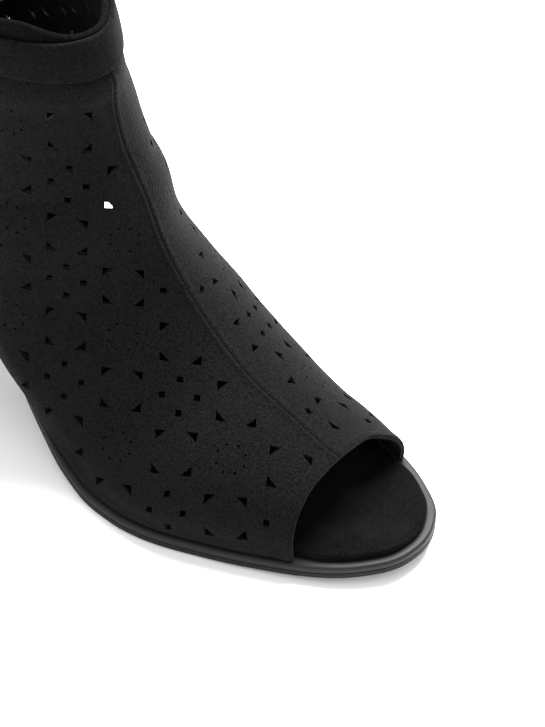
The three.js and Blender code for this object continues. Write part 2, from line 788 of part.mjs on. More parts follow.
const rubber = new THREE.MeshStandardMaterial({ color: 0x1b1c1d, roughness: 0.5, metalness: 0 });
const suede = new THREE.MeshStandardMaterial({ color: 0x1a1a1b, roughness: 0.95, metalness: 0 });
const footbed = new THREE.MeshStandardMaterial({ color: 0x0f0f10, roughness: 1, metalness: 0 });

const pieces = {
  outsole: [outsole, rubber],
  midsole: [midsole, rubber],
  heel: [heel, rubber],
  heel_tip: [heelTip, rubber],
  insole: [insole, footbed],
  upper: [upper, suede],
  ankle_band: [ankleBand, suede],
  collar_binding: [collarBinding, suede],
};

// The bodies' faces are turned outwards.
function facingOut(geometry) {
  const position = geometry.getAttribute('position');
  const index = Array.from(geometry.index.array);
  let volume = 0;
  const [a, b, c] = [new THREE.Vector3(), new THREE.Vector3(), new THREE.Vector3()];
  for (let i = 0; i < index.length; i += 3) {
    a.fromBufferAttribute(position, index[i]);
    b.fromBufferAttribute(position, index[i + 1]);
    c.fromBufferAttribute(position, index[i + 2]);
    volume += a.dot(b.cross(c));
  }
  if (volume < 0) {
    for (let i = 0; i < index.length; i += 3) [index[i], index[i + 1]] = [index[i + 1], index[i]];
    geometry.setIndex(index);
  }
  geometry.computeVertexNormals();
  return geometry;
}

const group = new THREE.Group();
for (const [name, [geometry, material]] of Object.entries(pieces)) {
  const mesh = new THREE.Mesh(facingOut(geometry), material);
  mesh.name = name;
  group.add(mesh);
}

export default group;
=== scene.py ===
# %% [markdown]
# # A perforated bootie with an open toe, built the way a shoe is made
# The shoe is one right shoe of black faux suede on a black moulded rubber sole. A shoemaker cuts the
# upper flat, punches its pattern, pulls it over a last and stitches it. This lesson does the same: a
# flat sheet is punched with a Boolean, then every vertex is rolled onto the shape of the foot.
#
# Everything below is worked out in millimetres and turned into metres at the last step, because the
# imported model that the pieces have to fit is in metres.

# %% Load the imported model
import json
import math

import bmesh
import bpy
import numpy as np
from mathutils import Matrix, Vector

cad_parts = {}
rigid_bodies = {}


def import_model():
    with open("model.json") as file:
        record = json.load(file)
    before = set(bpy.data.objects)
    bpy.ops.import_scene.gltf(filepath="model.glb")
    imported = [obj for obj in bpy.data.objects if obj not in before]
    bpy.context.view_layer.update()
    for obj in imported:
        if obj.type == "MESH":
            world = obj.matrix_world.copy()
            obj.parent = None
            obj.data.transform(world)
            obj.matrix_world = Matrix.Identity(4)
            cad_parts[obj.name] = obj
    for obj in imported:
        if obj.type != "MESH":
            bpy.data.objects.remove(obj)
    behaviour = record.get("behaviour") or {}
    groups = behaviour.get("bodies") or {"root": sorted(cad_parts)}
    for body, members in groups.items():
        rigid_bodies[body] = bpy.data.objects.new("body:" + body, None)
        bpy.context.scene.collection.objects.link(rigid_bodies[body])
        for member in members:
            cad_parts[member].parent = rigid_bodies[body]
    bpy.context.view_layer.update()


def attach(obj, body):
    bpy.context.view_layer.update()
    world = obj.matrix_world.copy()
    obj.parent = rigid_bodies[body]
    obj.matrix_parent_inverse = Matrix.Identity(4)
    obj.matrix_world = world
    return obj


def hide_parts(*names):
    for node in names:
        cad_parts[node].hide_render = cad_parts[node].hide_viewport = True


for leftover in list(bpy.data.objects):
    bpy.data.objects.remove(leftover)
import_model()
MM = 0.001

# %% [markdown]
# ## The camera, the floor and the light
# The shoe is seen from above its outer side, in front, from about 85 cm away. The camera's turn was
# worked out from the sole's outline. Its axes are written as the columns of a matrix: right, up and
# backwards. The sensor fit is vertical, so the view's height never depends on the picture's shape.

# %% Camera
view_right = Vector((0.7490, 0.6626, 0.0))
view_up = Vector((-0.4885, 0.5522, 0.6757))
view_back = Vector((0.4477, -0.5060, 0.7373))
camera_data = bpy.data.cameras.new("camera")
camera_data.sensor_fit = "VERTICAL"
camera_data.sensor_height = 36
camera_data.lens = 120.03
camera_data.clip_end = 20
camera = bpy.data.objects.new("camera", camera_data)
turned = Matrix((view_right, view_up, view_back)).transposed()
camera.matrix_world = Matrix.Translation(Vector((407.2, -391.3, 638.2)) * MM) @ turned.to_4x4()
bpy.context.scene.collection.objects.link(camera)
bpy.context.scene.camera = camera
print("camera at", tuple(round(v, 3) for v in camera.location))

# %% [markdown]
# ## Materials as expressions
# A node network is easier to read as a sum than as a list of links. The small class `Value` wraps one
# socket, and its operators add Math nodes, so `1 - mask * 0.5` builds the nodes it needs. `Finish`
# holds one material: its method `node` adds any other node with its settings and its inputs.

# %% A class that turns Python sums into Math nodes
class Value:
    def __init__(self, finish, socket):
        self.finish = finish
        self.socket = socket

    def math(self, operation, first, second):
        return self.finish.node("ShaderNodeMath", {"operation": operation}, {0: first, 1: second})

    def __add__(self, other):
        return self.math("ADD", self, other)

    def __mul__(self, other):
        return self.math("MULTIPLY", self, other)

    def __sub__(self, other):
        return self.math("SUBTRACT", self, other)

    def __rsub__(self, other):
        return self.math("SUBTRACT", other, self)

    __radd__ = __add__
    __rmul__ = __mul__


class Finish:
    def __init__(self, name, **sockets):
        self.material = bpy.data.materials.new(name)
        self.material.use_nodes = True
        self.tree = self.material.node_tree
        self.shader = self.tree.nodes["Principled BSDF"]
        for socket, value in sockets.items():
            self.shader.inputs[socket.replace("_", " ")].default_value = value

    def node(self, kind, settings, values, output=0):
        made = self.tree.nodes.new(kind)
        for key, setting in settings.items():
            setattr(made, key, setting)
        for key, value in values.items():
            self.feed(made.inputs[key], value)
        return Value(self, made.outputs[output])

    def feed(self, socket, value):
        if isinstance(value, Value):
            self.tree.links.new(value.socket, socket)
        else:
            socket.default_value = value

    def noise(self, scale, detail):
        place = self.node("ShaderNodeTexCoord", {}, {}, output="Object")
        return self.node("ShaderNodeTexNoise", {}, {"Vector": place, "Scale": scale, "Detail": detail})

    def step(self, value, low, high):
        smooth = {"interpolation_type": "SMOOTHSTEP"}
        return self.node("ShaderNodeMapRange", smooth, {0: value, 1: low, 2: high, 3: 0.0, 4: 1.0})

    def blend(self, factor, first, second):
        of_colours = {"data_type": "RGBA"}
        return self.node("ShaderNodeMix", of_colours, {0: factor, 6: first, 7: second}, output=2)

    def bump(self, height, distance):
        bumped = self.node("ShaderNodeBump", {}, {"Strength": 1.0, "Distance": distance, "Height": height})
        self.feed(self.shader.inputs["Normal"], bumped)

    def colour(self, value):
        self.feed(self.shader.inputs["Base Color"], value)

    def rough(self, value):
        self.feed(self.shader.inputs["Roughness"], value)


def grey(level):
    return (level, level, level, 1.0)


print("finish helpers ready")

# %% [markdown]
# ## The finishes
# Faux suede is a short brushed nap: it has no gloss, but its fibre tips catch light that grazes them,
# which the Sheen of the shader gives. Its colour drifts a little where the nap lies another way, and
# its surface is a fine irregular grain. All of that is noise on Object coordinates, so it needs no
# picture and sits still on the shoe. Rubber is smoother, with a soft satin highlight.

# %% Faux suede and its darker relatives
# waves of each noise to the metre
NAP_DRIFT = 45
NAP_PEBBLES = 850
NAP_TIPS = 2300


def suede(name, level, sheen, spread=1.2, grain=0.0007, uneven=0.2):
    finish = Finish(name, Sheen_Weight=sheen, Sheen_Roughness=0.35, Specular_IOR_Level=0.05)
    drift = finish.noise(NAP_DRIFT, 3)
    pebble = finish.noise(NAP_PEBBLES, 2)
    tips = finish.noise(NAP_TIPS, 1)
    speckle = finish.step(tips * 0.7 + pebble * 0.3, 0.36, 0.66)
    patches = finish.step(drift, 0.4, 0.6)
    mottled = finish.blend(patches, grey(level * (1 - uneven)), grey(level * (1 + uneven)))
    lit = finish.blend(drift, grey(level * (1 + 2 * spread)), grey(level * (1 + 3 * spread)))
    finish.colour(finish.blend(speckle * spread, mottled, lit))
    finish.rough(0.95 - speckle * 0.12)
    finish.bump(pebble * 0.4 + tips * 0.6, grain)
    return finish.material


upper_suede = suede("upper_suede", 0.0013, 0.026)
band_suede = suede("band_suede", 0.0011, 0.018, grain=0.0006)
binding_suede = suede("binding_suede", 0.0006, 0.008, grain=0.0006)
footbed_suede = suede("footbed_suede", 0.0014, 0.004, spread=0.6, grain=0.0004, uneven=0.8)
print("suede finishes:", upper_suede.name, band_suede.name, binding_suede.name, footbed_suede.name)

# %% Moulded rubber, hard heel and sewing thread
RUBBER_CLOUDS = 90
RUBBER_PORES = 2600


def moulded(name, level, roughness, specular, fine=0.00003):
    finish = Finish(name, Specular_IOR_Level=specular)
    cloud = finish.noise(RUBBER_CLOUDS, 3)
    pores = finish.noise(RUBBER_PORES, 2)
    finish.colour(finish.blend(cloud, grey(level * 0.85), grey(level * 1.15)))
    finish.rough(roughness - 0.06 + cloud * 0.12)
    finish.bump(pores, fine)
    return finish.material


sole_rubber = moulded("sole_rubber", 0.009, 0.55, 0.2)
rim_rubber = moulded("rim_rubber", 0.008, 0.5, 0.17)
heel_plastic = moulded("heel_plastic", 0.006, 0.45, 0.2)
thread = moulded("thread", 0.0025, 0.7, 0.05, 0.00005)
print("other finishes:", sole_rubber.name, rim_rubber.name, heel_plastic.name, thread.name)

# %% [markdown]
# ## The sizes of the shoe
# A few sizes and short tables give the whole shape: the sole's outline, its side view, and the upper,
# section by section. The sections are not parallel. They fan round a pivot above the instep, from
# upright at the toe to level at the ankle, as a last-maker's measuring tape lies round a foot. `turn`
# is the share of that quarter turn, and `back` is the distance behind the toe's tip.

# %% Sizes, mm
SOLE_LENGTH = 232.0
BALL_WIDTH = 88.5
TOE_SPRING = 4.5
HEEL_RISE = 65.0
OUTSOLE = 2.6
MIDSOLE = 2.6
CLEARANCE = 0.3
FOOT_CLEARANCE = 0.65
BAND_CLEARANCE = 0.5
RIM_WIDTH = 1.9
INSOLE = 2.2
INSOLE_CROWN = 1.2
WALL = 1.5
PIVOT_BACK = 2.0
PIVOT_HEIGHT = 150.0
INSTEP_RADIUS = 120.0
ANKLE_WIDTH = 63.5
COLLAR_HEIGHT = 14.9
COLLAR_DIP = 5.2
DIP_REACH = 0.14
COLLAR_BACK_RISE = 3.5
COLLAR_LEAN = 0.25
COUNTER_BACK = 231.5
COLLAR_BACK = 221.0
COUNTER_ROUND = 28.0
COLLAR_ROUND = 40.0
COLLAR_TURN = 0.983
BAND_LIFT = 3.8
BAND_HEIGHT = 13.5
BAND_THICKNESS = 1.6
BAND_BACK_RISE = 4.5
BINDING_HEIGHT = 2.8
BINDING_OVERHANG = 0.25
QUARTER = math.pi / 2
print("sole", SOLE_LENGTH, "x", BALL_WIDTH, "mm, heel rise", HEEL_RISE, "mm")

# %% A smooth curve through the rows of a table
def curve(table, column):
    places = np.array([row[0] for row in table], float)
    values = np.array([row[column] for row in table], float)
    spans = np.diff(places)
    rates = np.diff(values) / spans
    between = (rates[:-1] * spans[1:] + rates[1:] * spans[:-1]) / (spans[1:] + spans[:-1])
    slopes = np.concatenate([rates[:1], between, rates[-1:]])
    slopes[1:-1][rates[:-1] * rates[1:] <= 0] = 0

    def at(place):
        x = np.clip(np.asarray(place, float), places[0], places[-1])
        i = np.clip(np.searchsorted(places, x, "right") - 1, 0, len(spans) - 1)
        span = spans[i]
        t = (x - places[i]) / span
        return (
            (2 * t**3 - 3 * t**2 + 1) * values[i]
            + (t**3 - 2 * t**2 + t) * span * slopes[i]
            + (3 * t**2 - 2 * t**3) * values[i + 1]
            + (t**3 - t**2) * span * slopes[i + 1]
        )

    return at


# back, outer side, inner side: shares of the sole's length and of the ball's width
OUTLINE = [
    (0, 0.138, 0.138), (0.009, 0.019, 0.239), (0.028, -0.055, 0.315), (0.0625, -0.146, 0.379),
    (0.103, -0.219, 0.43), (0.147, -0.281, 0.466), (0.243, -0.397, 0.5), (0.333, -0.483, 0.5),
    (0.379, -0.5, 0.486), (0.422, -0.498, 0.46), (0.487, -0.467, 0.398), (0.556, -0.4115, 0.342),
    (0.647, -0.339, 0.308), (0.754, -0.308, 0.319), (0.841, -0.302, 0.342), (0.914, -0.263, 0.314),
    (0.97, -0.155, 0.206), (1, 0.025, 0.025),
]
# back, share of the toe spring, share of the heel's rise
PROFILE = [
    (0, 1, 0), (0.06, 0.64, 0), (0.13, 0.33, 0), (0.215, 0.09, 0), (0.293, 0, 0), (0.431, 0, 0),
    (0.474, 0, 0.028), (0.522, 0, 0.083), (0.556, 0, 0.156), (0.603, 0, 0.282), (0.668, 0, 0.474),
    (0.733, 0, 0.669), (0.797, 0, 0.815), (0.862, 0, 0.908), (0.927, 0, 0.965), (1, 0, 1),
]
spring_curve = curve(PROFILE, 1)
rise_curve = curve(PROFILE, 2)
station_table = [(math.acos(1 - 2 * back) / math.pi, outer, inner) for back, outer, inner in OUTLINE]
outer_outline = curve(station_table, 1)
inner_outline = curve(station_table, 2)
print("outline rows:", len(OUTLINE), "profile rows:", len(PROFILE))

# %% The sole's outline, moved inwards by an inset
OUTLINE_NUDGE = 1 / 64


def outline_point(station):
    folded = np.where(station <= 1, station, 2 - station)
    side = np.where(station <= 1, outer_outline(folded), inner_outline(folded))
    return np.stack([SOLE_LENGTH * (1 - np.cos(math.pi * folded)) / 2, BALL_WIDTH * side], -1)


def inset_outline(inset, station):
    along = outline_point((station + OUTLINE_NUDGE) % 2) - outline_point((station - OUTLINE_NUDGE) % 2)
    along /= np.linalg.norm(along, axis=-1, keepdims=True)
    point = outline_point(station % 2)
    by = inset(point[..., 0]) if callable(inset) else inset
    return point + np.stack([-along[..., 1], along[..., 0]], -1) * np.asarray(by)[..., None]


def sole_underside(back):
    share = back / SOLE_LENGTH
    return TOE_SPRING * spring_curve(share) + HEEL_RISE * rise_curve(share)


def shoe(back, side, height):
    return np.stack(np.broadcast_arrays(SOLE_LENGTH / 2 - back, side, height), -1)


print("ball girth line at back", round(float(outline_point(np.array(0.42))[0]), 1), "mm")

# %% [markdown]
# ## Bending a grid
# Most parts of a shoe are sheets that were bent: a sole's edge is a strip laid round the outline, an
# insole is a flat cut, a collar is a loop. So one helper makes them all. It asks Blender for a flat
# grid, gives each vertex the point that its row and column stand for, and merges the vertices that
# fall together, which closes loops and tips. A second helper gives the mesh its finish, marks the
# sharp edges, attaches it to the shoe's body and hides the imported parts that it stands in for.

# %% Grid and piece helpers
WELD = 1e-6


def bent_grid(points):
    rows, columns = points.shape[:2]
    sheet = bmesh.new()
    bmesh.ops.create_grid(sheet, x_segments=columns - 1, y_segments=rows - 1, size=1)
    for vertex in sheet.verts:
        column = round((vertex.co.x + 1) / 2 * (columns - 1))
        row = round((vertex.co.y + 1) / 2 * (rows - 1))
        vertex.co = points[row, column] * MM
    bmesh.ops.remove_doubles(sheet, verts=sheet.verts, dist=WELD)
    return sheet


def close_and_turn_out(sheet):
    open_edges = [edge for edge in sheet.edges if edge.is_boundary]
    if open_edges:
        bmesh.ops.holes_fill(sheet, edges=open_edges, sides=0)
    bmesh.ops.recalc_face_normals(sheet, faces=sheet.faces)
    return sheet


def piece(name, sheet, material, slot, *nodes, sharp=40):
    for face in sheet.faces:
        face.smooth = True
    limit = math.radians(sharp)
    for edge in sheet.edges:
        edge.smooth = len(edge.link_faces) == 2 and edge.calc_face_angle(0) < limit
    mesh = bpy.data.meshes.new(name)
    sheet.to_mesh(mesh)
    sheet.free()
    mesh.materials.append(material)
    made = bpy.data.objects.new(name, mesh)
    bpy.context.scene.collection.objects.link(made)
    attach(made, "root")
    if nodes:
        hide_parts(*nodes)
    print(name, len(mesh.vertices), "vertices,", len(mesh.polygons), "faces")


print("helpers ready")

# %% [markdown]
# ## The sole, the insole and the heel
# The moulded sole is two layers: a lower one with two fine grooves round its side, and a rounded rim
# on top of it that shows all round the shoe. The insole is a thin padded cut with a crowned top. Each
# is drawn as a row of cross-sections from toe to heel, one section being a closed ring of points, so
# a single bent grid makes the layer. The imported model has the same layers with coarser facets, and
# these pieces stand in for them. The heel's foot is a D, and its top is the sole's own outline.

# %% A layer of the sole
SOLE_STATIONS = 150


def layer(rows, base, crown=0.0, across=2):
    stations = np.linspace(0, 1, SOLE_STATIONS + 1)
    outer_rows, inner_rows = [], []
    for inset, height in rows:
        for side_rows, places in ((outer_rows, stations), (inner_rows, (2 - stations) % 2)):
            back, side = inset_outline(inset, places).T
            side_rows.append(shoe(back, side, sole_underside(back) + base + height))
    top, bottom = [], []
    for step in range(1, across):
        share = step / across
        high = outer_rows[-1] * (1 - share) + inner_rows[-1] * share
        high[:, 2] += crown * 4 * share * (1 - share) * np.sin(math.pi * stations) ** 0.5
        top.append(high)
        bottom.append(inner_rows[0] * (1 - share) + outer_rows[0] * share)
    ring = [*outer_rows, *top, *inner_rows[::-1], *bottom]
    ring.append(ring[0])
    return close_and_turn_out(bent_grid(np.stack(ring, 1)))


# inset from the outline in mm, share of the layer's height
OUTSOLE_EDGE = [
    (2.8, 0), (2, 0.05), (1.1, 0.11), (0.4, 0.18), (0, 0.26), (0, 0.36), (0.12, 0.4), (0.45, 0.44),
    (0.12, 0.48), (0, 0.52), (0, 0.68), (0.12, 0.72), (0.45, 0.76), (0.12, 0.8), (0, 0.84),
    (0.05, 0.97), (0.25, 1),
]
RIM_EDGE = [
    (0.33, 0), (0.1, 0.05), (0, 0.13), (0, 0.4), (0.06, 0.58), (0.24, 0.76), (0.55, 0.9), (0.95, 0.98),
    (1.4, 1), (2.4, 1.02),
]
rim_base = OUTSOLE + CLEARANCE
lower_layer = layer([(inset, OUTSOLE * height) for inset, height in OUTSOLE_EDGE], 0)
piece("sole_lower", lower_layer, sole_rubber, "sole_rubber", "outsole", sharp=60)
rim_layer = layer([(inset, MIDSOLE * height) for inset, height in RIM_EDGE], rim_base)
piece("sole_rim", rim_layer, rim_rubber, "rim_rubber", "midsole", sharp=60)

# %% The insole: to the rim in the open toe, inside the upper behind it
INSOLE_TOE_INSET = 3.2
INSOLE_FOOT_INSET = RIM_WIDTH + WALL + 1.2
INSOLE_STEP_START, INSOLE_STEP_REACH = 0.08, 0.05
INSOLE_ROWS_ACROSS = 24
INSOLE_EDGE = [(0, 0), (0, 0.45), (0.08, 0.7), (0.3, 0.9), (0.75, 1.0), (1.5, 1.04)]


def insole_inset(extra):
    def at(back):
        share = np.clip((back / SOLE_LENGTH - INSOLE_STEP_START) / INSOLE_STEP_REACH, 0, 1)
        share = share * share * (3 - 2 * share)
        return INSOLE_TOE_INSET + (INSOLE_FOOT_INSET - INSOLE_TOE_INSET) * share + extra
    return at


insole_base = rim_base + MIDSOLE + FOOT_CLEARANCE
insole_rows = [(insole_inset(extra), INSOLE * height) for extra, height in INSOLE_EDGE]
insole_layer = layer(insole_rows, insole_base, INSOLE_CROWN, INSOLE_ROWS_ACROSS)
piece("insole_pad", insole_layer, footbed_suede, "footbed_suede", "insole", sharp=60)

# %% Heel block and its wearing piece
HEEL_BREAST = 180.0
HEEL_INSET = 0.9
TIP_FRONT = 184.0
TIP_LENGTH = 45.0
TIP_WIDTH = 47.0
TIP_THICKNESS = 5.0
TIP_ROUND_BACK, TIP_ROUND_SIDE = 3.4, 2.4
HEEL_FLARE = 1.6
HEEL_SINK = 0.5
MIDDLE = BALL_WIDTH * 0.025
heel_stations = np.sin(QUARTER * np.linspace(0, 1, 41))
heel_line = inset_outline(HEEL_INSET, np.linspace(0, 2, 513))


def heel_ring(level, height_of, inset=0.0):
    bulge = (1 - heel_stations**TIP_ROUND_BACK) ** (1 / TIP_ROUND_SIDE)
    spread = level**HEEL_FLARE
    top_back = HEEL_BREAST + (SOLE_LENGTH - HEEL_INSET - HEEL_BREAST) * heel_stations
    sides = []
    for sign, half in ((-1, heel_line[:257]), (1, heel_line[:255:-1])):
        high = np.interp(top_back, half[:, 0], half[:, 1])
        high[-1] = MIDDLE
        low = MIDDLE + sign * TIP_WIDTH / 2 * bulge
        back = TIP_FRONT + TIP_LENGTH * heel_stations
        middle = low + (high - low) * spread
        middle += (MIDDLE - middle) * inset / (TIP_WIDTH / 2)
        place = back + (top_back - back) * spread + inset * (1 - 2 * heel_stations)
        sides.append(shoe(place, middle, height_of(top_back)))
    loop = np.concatenate([sides[0], sides[1][-2::-1]])
    return np.concatenate([loop, loop[:1]])


block_low = TIP_THICKNESS + CLEARANCE
# share of the block's height, inset in mm
BLOCK_ROWS = [
    (0.0, 0.5), (0.008, 0.12), (0.02, 0), (0.15, 0), (0.3, 0), (0.45, 0), (0.6, 0), (0.75, 0), (0.9, 0),
    (1.0, 0),
]
block = np.stack([
    heel_ring(level, lambda back: block_low + (sole_underside(back) - HEEL_SINK - block_low) * level, inset)
    for level, inset in BLOCK_ROWS
])
piece("heel_block", close_and_turn_out(bent_grid(block)), heel_plastic, "heel_plastic", "heel", sharp=35)
# inset, height above the floor, mm
TIP_ROWS = [(0.6, 0), (0.15, 0.2), (0, 0.6), (0, 4.4), (0.15, 4.8), (0.5, 5.0)]
tip = np.stack([heel_ring(0.0, lambda back: height, inset) for inset, height in TIP_ROWS])
piece("heel_top_piece", close_and_turn_out(bent_grid(tip)), sole_rubber, "sole_rubber", "heel_tip", sharp=35)

# %% [markdown]
# ## The last: where a point of the flat sheet comes to lie
# Every flank is a fan of half sections, each running from the ridge of the instep down to the rim, or
# further back to the seam over the heel. Laid flat, a point's angle round the pivot says which section
# it is on, and its distance beyond the ridge says how far along. That makes a true flat pattern: small
# shapes keep their size when they are rolled on. The tables are worked out once, on a fine grid, and
# read by interpolation.

# %% Sections of the upper
# turn, ridge (share of the instep radius), half widths outer and inner (shares of a width that runs
# from ball to ankle), depth share of the widest place, squareness outer and inner
SECTIONS = [
    (0, 0.9875, 0.159, 0.249, 0.86, 2.2, 2.2), (0.162, 0.9925, 0.3, 0.4, 0.86, 2, 1.78),
    (0.278, 0.996, 0.435, 0.467, 0.84, 1.8, 1.74), (0.389, 1.0165, 0.554, 0.525, 0.82, 1.65, 1.98),
    (0.478, 1.0133, 0.55, 0.539, 0.8, 1.45, 2.01), (0.567, 1.0058, 0.575, 0.514, 0.76, 1.3, 1.9),
    (0.656, 0.9983, 0.555, 0.488, 0.7, 1.45, 1.77), (0.744, 0.9845, 0.515, 0.509, 0.64, 1.9, 1.99),
    (0.856, 1.01, 0.48, 0.513, 0.61, 2.1, 2.055), (1, 1.0105, 0.466, 0.431, 0.6, 2.05, 1.715),
]
# turn, where the ridge lies off the middle (share of the ball's width)
SEAM = [(0, 0.082), (0.167, 0.066), (0.78, 0.025), (1, 0.025)]
# share of the rise from heel seat to pivot, share of the way from collar back to counter back
BACK_SEAM = [(0.18, 1), (0.37, 0.95), (0.62, 0.57), (1, 0), (1.4, -0.2)]
# share of the girth, turn of the opening's edge on the outer and the inner side
TOE_EDGE = [
    (0, 0.158, 0.158), (0.25, 0.153, 0.158), (0.5, 0.14, 0.142), (0.75, 0.126, 0.128), (1, 0.117, 0.12),
]
ridge_share = curve(SECTIONS, 1)
seam_share = curve(SEAM, 1)
toe_edge = {-1: curve(TOE_EDGE, 1), 1: curve(TOE_EDGE, 2)}
foot_line = inset_outline(RIM_WIDTH, np.linspace(0, 2, 257))
foot_sides = {-1: foot_line[:129], 1: foot_line[:127:-1]}
foot_toe, foot_heel = foot_line[0, 0], foot_line[128, 0]


def foot_height(back):
    return sole_underside(back) + rim_base + MIDSOLE + FOOT_CLEARANCE


seat = float(foot_height(foot_heel))
seam_rows = [(seat, foot_heel)]
for rise, back in BACK_SEAM:
    seam_place = COLLAR_BACK + (COUNTER_BACK - COLLAR_BACK) * back
    seam_rows.append((seat + (PIVOT_HEIGHT - seat) * rise, seam_place))
back_seam = curve(seam_rows, 1)
closing_turn = math.atan2(foot_heel - PIVOT_BACK, PIVOT_HEIGHT - seat) / QUARTER
print("heel seat at", round(seat, 1), "mm, sections meet the back seam from turn", round(closing_turn, 3))

# %% Where sections end, and how they close in towards the back seam
BISECT_STEPS = 40
HIGHEST_SHARE = 1.2
LAST_STEP = 0.02


def behind_plane(turn, back, height):
    return (back - PIVOT_BACK) * np.cos(turn * QUARTER) - (PIVOT_HEIGHT - height) * np.sin(turn * QUARTER)


def bisect(rising, low, high):
    low, high = np.array(low, float), np.array(high, float)
    for _ in range(BISECT_STEPS):
        middle = (low + high) / 2
        below = rising(middle) < 0
        low, high = np.where(below, middle, low), np.where(below, high, middle)
    return low


def section_end(turn):
    flat = np.zeros_like(turn)
    top = flat + PIVOT_HEIGHT * HIGHEST_SHARE
    back = bisect(lambda at: behind_plane(turn, at, foot_height(at)), flat + foot_toe, flat + foot_heel)
    height = bisect(lambda at: behind_plane(turn, back_seam(at), at), flat + seat, top)
    ahead = turn < closing_turn
    return np.where(ahead, back, back_seam(height)), np.where(ahead, foot_height(back), height)


def closing(back, height):
    up = np.clip((height - seat) / (PIVOT_HEIGHT - seat), 0, 1)
    reach = COUNTER_ROUND + (COLLAR_ROUND - COUNTER_ROUND) * up
    share = np.clip((back_seam(height) - back) / reach, 0, 1)
    return np.sqrt(1 - (1 - share) ** 2)


def foot_half_width(turn, side, back):
    ahead = np.minimum(back, foot_heel - COUNTER_ROUND * LAST_STEP)
    line = foot_sides[side]
    beside = np.interp(ahead, line[:, 0], line[:, 1]) - BALL_WIDTH * seam_share(turn)
    return side * beside / closing(ahead, seat)


# %% Tables of each flank: points, outward directions and girths
TURN_ROWS = 340
LIFT_ROWS = 24
FAN_STEPS = 96
SHARES = np.linspace(0, 1, 161)
first_turn = 0.1
turns = np.linspace(first_turn, COLLAR_TURN, TURN_ROWS)


def back_lift(x, rise):
    return rise * np.sin(QUARTER * np.clip((collar_front - x) / collar_depth, 0, 1))


def collar_lift(x):
    reach = np.clip((collar_front - x) / collar_depth / DIP_REACH, 0, 1)
    return COLLAR_DIP * reach**2 * (3 - 2 * reach) + back_lift(x, COLLAR_BACK_RISE)


def half_sections(side):
    back_end, height_end = section_end(turns)
    ridge = INSTEP_RADIUS * ridge_share(turns)
    depth = np.hypot(back_end - PIVOT_BACK, PIVOT_HEIGHT - height_end) - ridge
    seam = BALL_WIDTH * seam_share(turns)
    foot = foot_half_width(turns, side, back_end)
    column = 2 if side < 0 else 3
    full = BALL_WIDTH + (ANKLE_WIDTH - BALL_WIDTH) * turns
    half = np.maximum(full * curve(SECTIONS, column)(turns), foot)
    above = np.clip((turns - closing_turn) / (COLLAR_TURN - closing_turn), 0, 1)
    end_half = foot + (half - foot) * above
    square = curve(SECTIONS, column + 3)(turns)[:, None]
    widest = curve(SECTIONS, 4)(turns)[:, None]
    fan = np.linspace(0, 1, FAN_STEPS + 1)[None, :]
    fall = np.cos(QUARTER * fan).clip(0)
    rise = np.sin(QUARTER * fan[:, 1:])
    share = np.concatenate([widest * (1 - fall), widest + (1 - widest) * rise], 1)
    upper_part = half[:, None] * (1 - fall**square) ** (1 / square)
    lower_part = end_half[:, None] + (half - end_half)[:, None] * np.sqrt((1 - rise**2).clip(0))
    width = np.concatenate([upper_part, lower_part], 1)
    radius = ridge[:, None] + depth[:, None] * share
    back = PIVOT_BACK + radius * np.sin(turns * QUARTER)[:, None]
    height = PIVOT_HEIGHT - radius * np.cos(turns * QUARTER)[:, None]
    points = shoe(back, seam[:, None] + side * width * closing(back, height), height)
    steps = np.linalg.norm(np.diff(points, axis=1), axis=2)
    lengths = np.concatenate([np.zeros((TURN_ROWS, 1)), np.cumsum(steps, 1)], 1)
    even = np.stack([
        np.stack([np.interp(SHARES * lengths[k, -1], lengths[k], points[k, :, axis]) for axis in range(3)], -1)
        for k in range(TURN_ROWS)
    ])
    return even, lengths[:, -1]


flanks = {side: half_sections(side) for side in (-1, 1)}
collar_front = float(flanks[1][0][-1, 0, 0])
collar_depth = collar_front - float(flanks[1][0][-1, -1, 0])
lifts = np.linspace(0, COLLAR_HEIGHT + BINDING_HEIGHT, LIFT_ROWS + 1)[1:]


def with_collar(side):
    points, girths = flanks[side]
    last = points[-1]
    rows = []
    for lift in lifts:
        row = last.copy()
        height = lift + collar_lift(last[:, 0]) * min(lift / COLLAR_HEIGHT * 2, 1)
        row[:, 2] += height
        row[:, 0] -= COLLAR_LEAN * height
        rows.append(row)
    grid = np.concatenate([points, np.stack(rows)])
    outward = np.cross(np.gradient(grid, axis=0), np.gradient(grid, axis=1))
    outward *= -side / np.linalg.norm(outward, axis=2, keepdims=True)
    return grid, outward, girths


lasts = {side: with_collar(side) for side in (-1, 1)}
for side, word in ((-1, "outer"), (1, "inner")):
    print("girths of the", word, "flank, mm:", np.round(lasts[side][2][::85], 1))

# %% Rolling a flat point onto the last
LAST_CELL = 1.001


def read_table(table, row, share):
    row = np.clip(row, 0, table.shape[0] - LAST_CELL)
    column = np.clip(share * (table.shape[1] - 1), 0, table.shape[1] - LAST_CELL)
    i, j = row.astype(int), column.astype(int)
    u, v = (row - i)[:, None], (column - j)[:, None]
    return (
        table[i, j] * (1 - u) * (1 - v) + table[i + 1, j] * u * (1 - v)
        + table[i, j + 1] * (1 - u) * v + table[i + 1, j + 1] * u * v
    )


def unroll(across, drop):
    last_angle = COLLAR_TURN * QUARTER
    lift = across * math.cos(last_angle) - drop * math.sin(last_angle)
    beyond = lift > 0
    turn = np.where(beyond, COLLAR_TURN, np.arctan2(across, drop) / QUARTER)
    at_collar = across * math.sin(last_angle) + drop * math.cos(last_angle)
    radius = np.where(beyond, at_collar, np.hypot(across, drop))
    return turn, np.where(beyond, lift, 0), radius - INSTEP_RADIUS * ridge_share(turn)


def lay(turn, lift, length):
    last_angle = COLLAR_TURN * QUARTER
    radius = length + INSTEP_RADIUS * ridge_share(turn)
    angle = turn * QUARTER
    across = radius * np.sin(angle) + lift * math.cos(last_angle)
    return across, radius * np.cos(angle) - lift * math.sin(last_angle)


